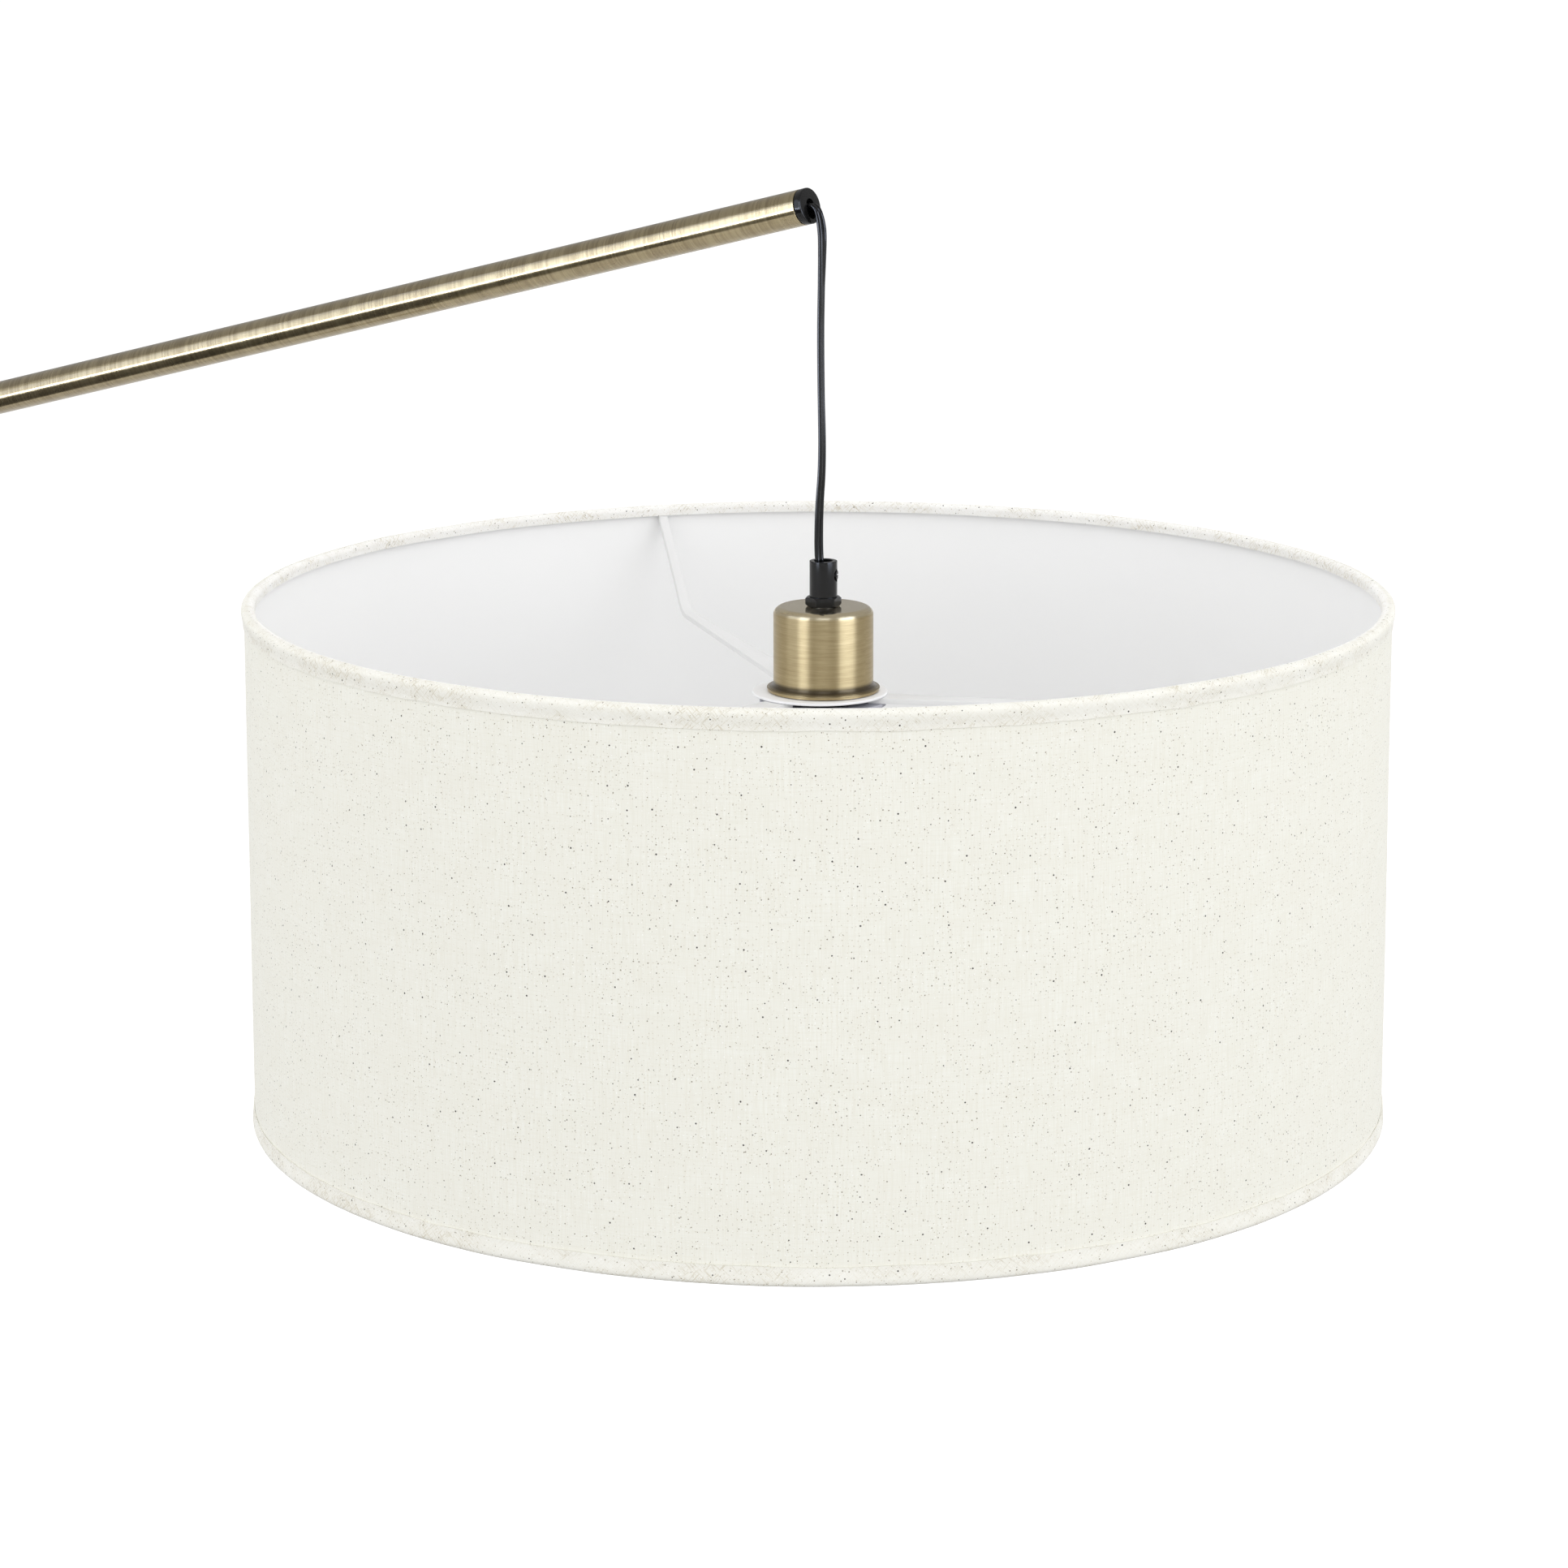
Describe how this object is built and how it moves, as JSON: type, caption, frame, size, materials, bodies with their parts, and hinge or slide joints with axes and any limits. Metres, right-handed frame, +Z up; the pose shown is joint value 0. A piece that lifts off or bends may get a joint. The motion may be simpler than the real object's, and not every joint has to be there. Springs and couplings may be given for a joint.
{
  "type": "floor lamp",
  "caption": "Floor lamp with a weighted round base, vertical pole and long tilting boom that hangs a lined linen drum shade on a flat flex.",
  "frame": {"origin": "centre of the base pad's underside, on the floor", "axes": "+Z up along the pole, +X along the boom towards the shade"},
  "size_m": [1.5084, 0.508, 1.7926],
  "materials": {
    "antique_brass": "antique brass plate, brushed, satin lacquer",
    "bright_brass": "turned brass, satin",
    "steel": "zinc-plated steel",
    "cast_iron": "rough cast iron in black primer",
    "black_plastic": "moulded black plastic, slight sheen",
    "black_pvc": "extruded black PVC, glossy",
    "rubber": "black rubber, matt",
    "nylon": "natural nylon",
    "white_metal": "white powder coat, satin",
    "white_plastic": "moulded white plastic, satin",
    "opal": "opal diffuser, soft gloss",
    "styrene": "white styrene sheet, matt",
    "linen": "off-white slubbed weave with small dark flecks",
    "bias_tape": "bias-cut tape of the same weave"
  },
  "bodies": {
    "stand": {"base_pad": "rubber", "base_weight": "cast_iron", "base_cover": "antique_brass", "cord_gland": "rubber", "base_washer": "steel", "base_nut": "steel", "pole_stud": "steel", "switch_body": "black_plastic", "switch_spring": "steel", "pole_collar": "antique_brass", "pole_plug": "steel", "lower_pole": "antique_brass", "pole_joiner": "bright_brass", "upper_pole": "antique_brass", "pole_top_bush": "bright_brass", "pole_cable": "black_pvc"},
    "switch_button": {"foot_button": "black_plastic"},
    "head": {"swivel_yoke": "antique_brass", "swivel_washer": "nylon", "swivel_nut": "steel", "pivot_bolt": "bright_brass", "friction_washer_left": "nylon", "friction_washer_right": "nylon", "knob_washer": "steel"},
    "knob": {"tilt_knob": "black_plastic"},
    "boom": {"boom_hub": "antique_brass", "hub_screw_front": "steel", "hub_screw_rear": "steel", "boom_tube": "antique_brass", "tail_tube": "antique_brass", "end_cap": "black_plastic", "tail_cap": "black_plastic", "counterweight": "antique_brass", "counterweight_screw": "steel", "boom_cable": "black_pvc"},
    "flex_top": {"flex_bend": "black_pvc"},
    "flex": {"pendant_flex": "black_pvc"},
    "pendant": {"cord_grip": "black_plastic", "grip_screw": "nylon", "grip_nipple": "steel", "socket_cup": "antique_brass", "lampholder": "black_plastic", "screw_shell": "bright_brass", "centre_contact": "bright_brass", "shade_ring": "white_plastic", "bulb_cap": "steel", "bulb_housing": "white_plastic", "bulb_globe": "opal", "shade_cover": "linen", "shade_liner": "styrene", "top_ring": "white_metal", "bottom_ring": "white_metal", "top_trim": "bias_tape", "bottom_trim": "bias_tape", "fitter_disc": "white_metal", "spider_arm_1": "white_metal", "spider_arm_2": "white_metal", "spider_arm_3": "white_metal"}
  },
  "joints": [
    {"name": "switch_press", "type": "slide", "parent": "stand", "child": "switch_button", "axis": [0, 0, -1], "range_m": [0, 0.003], "stiffness_N_per_m": 500, "springref_m": -0.002, "deforming": ["switch_spring"]},
    {"name": "head_swivel", "type": "hinge", "parent": "stand", "child": "head", "pos_m": [0, 0, 1.56], "axis": [0, 0, 1], "range_deg": [-170, 170]},
    {"name": "boom_tilt", "type": "hinge", "parent": "head", "child": "boom", "pos_m": [0, 0, 1.56], "axis": [0, -1, 0], "range_deg": [-24, 10]},
    {"name": "knob_turn", "type": "hinge", "parent": "head", "child": "knob", "pos_m": [0, -0.03, 1.56], "axis": [0, 1, 0], "continuous": true},
    {"name": "flex_plumb", "type": "hinge", "parent": "boom", "child": "flex_top", "pos_m": [0.90238, 0, 1.78499], "axis": [0, -1, 0], "range_deg": [-12, 26]},
    {"name": "pendant_sway", "type": "hinge", "parent": "flex_top", "child": "flex", "pos_m": [0.90858, 0, 1.77064], "axis": [1, 0, 0], "range_deg": [-12, 12]},
    {"name": "shade_swing", "type": "hinge", "parent": "flex", "child": "pendant", "pos_m": [0.90917, 0, 1.62849], "axis": [0, 1, 0], "range_deg": [-8, 8]}
  ],
  "couplings": [
    {"joint": "flex_plumb", "follows": "boom_tilt", "ratio": -1}
  ]
}
